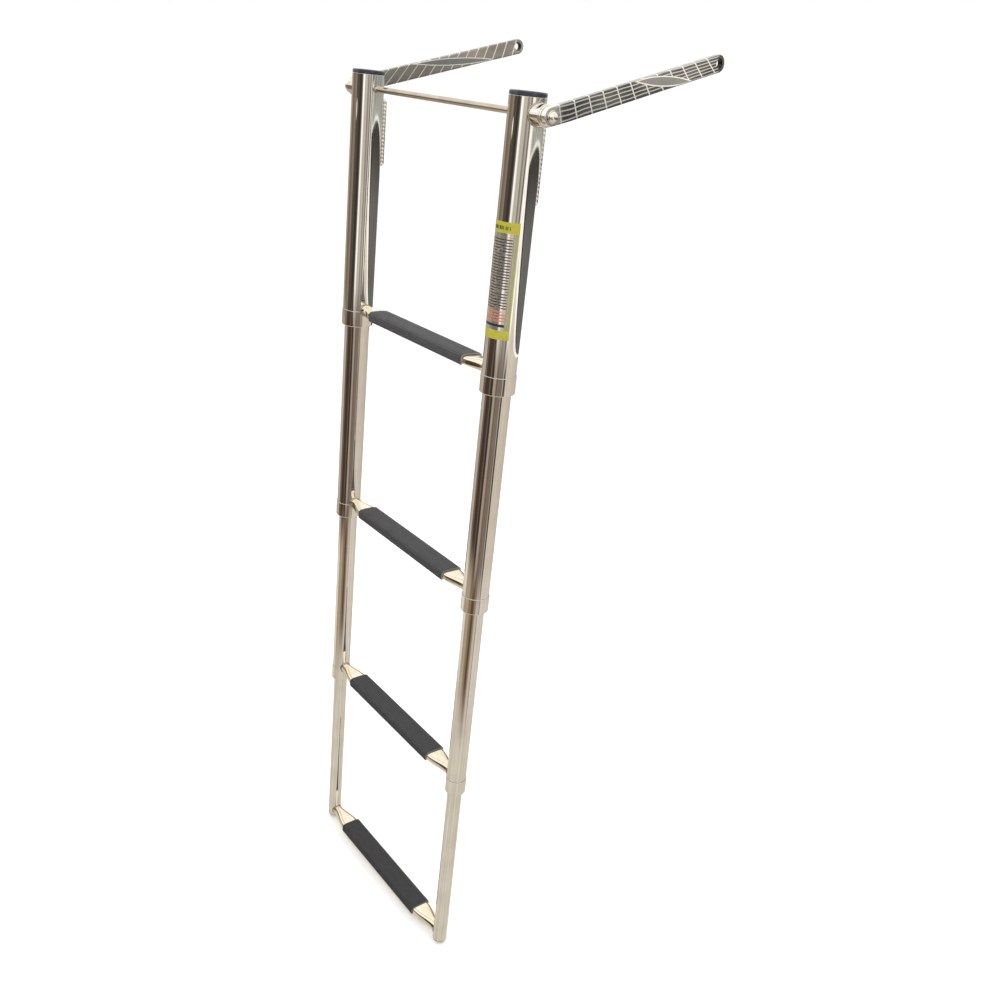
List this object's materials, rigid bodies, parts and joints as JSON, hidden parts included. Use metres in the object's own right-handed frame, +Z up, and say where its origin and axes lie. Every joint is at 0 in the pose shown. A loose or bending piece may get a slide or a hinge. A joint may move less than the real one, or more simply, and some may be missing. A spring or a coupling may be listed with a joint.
{
  "type": "telescoping boat boarding ladder",
  "caption": "Telescoping boarding ladder in polished steel tube with dark ribbed treads and a pair of flat arms that swing on a cross rod at the top.",
  "frame": {"origin": "on the cross rod that the arms turn on, midway between the rails", "axes": "+Z up along the rails, +X from the left rail to the right rail, +Y towards the boat, the way the arms reach"},
  "size_m": [0.388, 0.2658, 1.1677],
  "materials": {
    "polished_steel": "mirror-polished stainless steel",
    "black_plastic": "smooth moulded, near black with a navy cast",
    "tread_rubber": "matt, fine lengthways ribs",
    "guide_plastic": "natural moulded acetal",
    "label_film": "printed film, plain yellow border"
  },
  "bodies": {
    "upper_stage": {"cross_rod": "polished_steel", "label": "label_film", "rail_1_left": "polished_steel", "rail_1_right": "polished_steel", "top_cap_left": "black_plastic", "top_cap_right": "black_plastic", "pivot_boss_left": "polished_steel", "pivot_boss_right": "polished_steel", "pivot_washer_left": "polished_steel", "pivot_washer_right": "polished_steel", "rod_nut_left": "polished_steel", "rod_nut_right": "polished_steel", "rear_standoff_left": "polished_steel", "rear_standoff_right": "polished_steel", "collar_1_left": "polished_steel", "collar_1_right": "polished_steel", "collar_bush_1_left": "guide_plastic", "collar_bush_1_right": "guide_plastic", "rung_1": "polished_steel", "tread_1": "tread_rubber"},
    "arm_left": {"arm_left": "polished_steel"},
    "arm_right": {"arm_right": "polished_steel"},
    "second_stage": {"rail_2_left": "polished_steel", "rail_2_right": "polished_steel", "collar_2_left": "polished_steel", "collar_2_right": "polished_steel", "collar_bush_2_left": "guide_plastic", "collar_bush_2_right": "guide_plastic", "guide_sleeve_2_left": "guide_plastic", "guide_sleeve_2_right": "guide_plastic", "rung_2": "polished_steel", "tread_2": "tread_rubber"},
    "third_stage": {"rail_3_left": "polished_steel", "rail_3_right": "polished_steel", "collar_3_left": "polished_steel", "collar_3_right": "polished_steel", "collar_bush_3_left": "guide_plastic", "collar_bush_3_right": "guide_plastic", "guide_sleeve_3_left": "guide_plastic", "guide_sleeve_3_right": "guide_plastic", "rung_3": "polished_steel", "tread_3": "tread_rubber"},
    "fourth_stage": {"rail_4_left": "polished_steel", "rail_4_right": "polished_steel", "foot_left": "polished_steel", "foot_right": "polished_steel", "guide_sleeve_4_left": "guide_plastic", "guide_sleeve_4_right": "guide_plastic", "rung_4": "polished_steel", "tread_4": "tread_rubber"}
  },
  "joints": [
    {"name": "second_stage_slide", "type": "slide", "parent": "upper_stage", "child": "second_stage", "axis": [0, 0, 1], "range_m": [0, 0.236]},
    {"name": "third_stage_slide", "type": "slide", "parent": "second_stage", "child": "third_stage", "axis": [0, 0, 1], "range_m": [0, 0.236]},
    {"name": "fourth_stage_slide", "type": "slide", "parent": "third_stage", "child": "fourth_stage", "axis": [0, 0, 1], "range_m": [0, 0.236]},
    {"name": "arm_left_swing", "type": "hinge", "parent": "upper_stage", "child": "arm_left", "pos_m": [-0.15, 0, 0], "axis": [1, 0, 0], "range_deg": [-105.5, 74.5]},
    {"name": "arm_right_swing", "type": "hinge", "parent": "upper_stage", "child": "arm_right", "pos_m": [0.15, 0, 0], "axis": [1, 0, 0], "range_deg": [-105.5, 74.5]}
  ]
}
